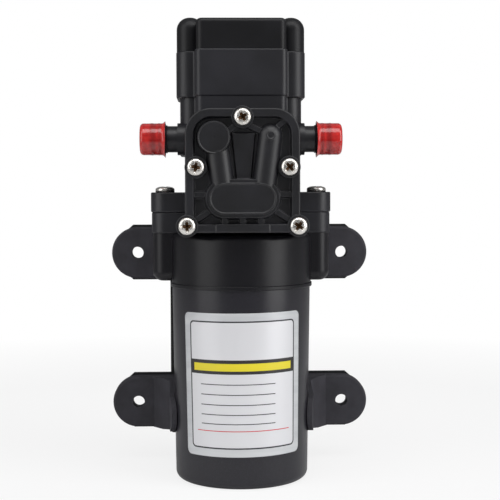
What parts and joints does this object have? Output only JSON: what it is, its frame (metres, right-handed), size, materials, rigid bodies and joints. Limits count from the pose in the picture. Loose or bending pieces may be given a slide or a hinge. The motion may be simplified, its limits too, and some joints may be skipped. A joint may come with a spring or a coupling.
{
  "type": "diaphragm water pump",
  "caption": "Small upright diaphragm water pump: round electric motor, moulded pump head with a ribbed cover, capped hose ports, pressure switch on top, rubber feet.",
  "frame": {"origin": "centre of the motor's flat end face, on the shaft axis", "axes": "+X to the outlet side, +Y to the back with the base plate, +Z along the shaft to the pump head"},
  "size_m": [0.0962, 0.0601, 0.1632],
  "materials": {
    "can_paint": "satin black paint",
    "bell_paint": "satin black paint",
    "head_plastic": "moulded, fine grain",
    "cover_plastic": "moulded, fine grain",
    "cap_plastic": "moulded, half gloss",
    "screw_nickel": "nickel plated",
    "plate_steel": "dark coated sheet",
    "foot_rubber": "matte",
    "port_vinyl": "soft translucent red",
    "seal_rubber": "smooth",
    "valve_rubber": "smooth",
    "valve_plastic": "natural nylon",
    "rod_plastic": "natural acetal",
    "shaft_steel": "ground",
    "core_steel": "laminated",
    "winding_copper": "enamelled copper",
    "commutator_copper": "copper",
    "carbon": "graphite",
    "magnet_ferrite": "ferrite",
    "bearing_bronze": "sintered bronze",
    "card_board": "brown laminate",
    "switch_plastic": "moulded",
    "plunger_plastic": "natural acetal"
  },
  "bodies": {
    "pump_body": {"motor_can": "can_paint", "motor_bell": "bell_paint", "drive_housing": "head_plastic", "pump_head": "head_plastic", "front_cover": "cover_plastic", "head_gasket": "seal_rubber", "cover_screws": "screw_nickel", "ear_screws": "screw_nickel", "cap_screws": "screw_nickel", "base_screws": "screw_nickel", "switch_housing": "head_plastic", "switch_cap": "cap_plastic", "switch_diaphragm": "seal_rubber", "pressure_spring": "shaft_steel", "pressure_adjuster": "commutator_copper", "micro_switch": "switch_plastic", "cable_grommet": "seal_rubber", "valve_plate": "valve_plastic", "inlet_valve": "valve_rubber", "outlet_valve": "valve_rubber", "diaphragm": "seal_rubber", "brush_card": "card_board", "brush_spring_left": "shaft_steel", "brush_spring_right": "shaft_steel", "flux_ring": "core_steel", "magnet_front": "magnet_ferrite", "magnet_back": "magnet_ferrite", "lower_bush": "bearing_bronze", "upper_bearing": "shaft_steel", "base_plate": "plate_steel", "upper_foot_left": "foot_rubber", "upper_foot_right": "foot_rubber", "lower_foot_cradle": "foot_rubber"},
    "rotor": {"motor_shaft": "shaft_steel", "armature_core": "core_steel", "armature_windings": "winding_copper", "commutator": "commutator_copper", "eccentric": "core_steel"},
    "rod": {"connecting_rod": "rod_plastic", "rod_bearing": "bearing_bronze", "diaphragm_washer": "shaft_steel", "diaphragm_screw": "shaft_steel"},
    "plunger": {"switch_plunger": "plunger_plastic"},
    "button": {"switch_button": "plunger_plastic"},
    "left_brush": {"brush_left": "carbon"},
    "right_brush": {"brush_right": "carbon"},
    "left_cap": {"port_cap_left": "port_vinyl"},
    "right_cap": {"port_cap_right": "port_vinyl"}
  },
  "joints": [
    {"name": "rotor_spin", "type": "hinge", "parent": "pump_body", "child": "rotor", "pos_m": [0, 0, 0.05], "axis": [0, 0, 1], "continuous": true},
    {"name": "rod_orbit", "type": "hinge", "parent": "rotor", "child": "rod", "pos_m": [0, -0.0012, 0.0999], "axis": [0, 0, 1], "continuous": true, "deforming": ["diaphragm"]},
    {"name": "switch_plunger_lift", "type": "slide", "parent": "pump_body", "child": "plunger", "axis": [0, 0, 1], "range_m": [0, 0.0006], "stiffness_N_per_m": 800, "springref_m": -0.004, "deforming": ["pressure_spring", "switch_diaphragm"]},
    {"name": "switch_button_press", "type": "slide", "parent": "pump_body", "child": "button", "axis": [0, 0, 1], "range_m": [0, 0.0006]},
    {"name": "brush_left_slide", "type": "slide", "parent": "pump_body", "child": "left_brush", "axis": [-1, 0, 0], "range_m": [0, 0.002], "stiffness_N_per_m": 250, "springref_m": -0.003, "deforming": ["brush_spring_left"]},
    {"name": "brush_right_slide", "type": "slide", "parent": "pump_body", "child": "right_brush", "axis": [1, 0, 0], "range_m": [0, 0.002], "stiffness_N_per_m": 250, "springref_m": -0.003, "deforming": ["brush_spring_right"]},
    {"name": "port_cap_left_pull", "type": "slide", "parent": "pump_body", "child": "left_cap", "axis": [-1, 0, 0], "range_m": [0, 0.014]},
    {"name": "port_cap_right_pull", "type": "slide", "parent": "pump_body", "child": "right_cap", "axis": [1, 0, 0], "range_m": [0, 0.014]}
  ],
  "couplings": [
    {"joint": "rod_orbit", "follows": "rotor_spin", "ratio": -1},
    {"joint": "switch_button_press", "follows": "switch_plunger_lift", "ratio": 1}
  ]
}
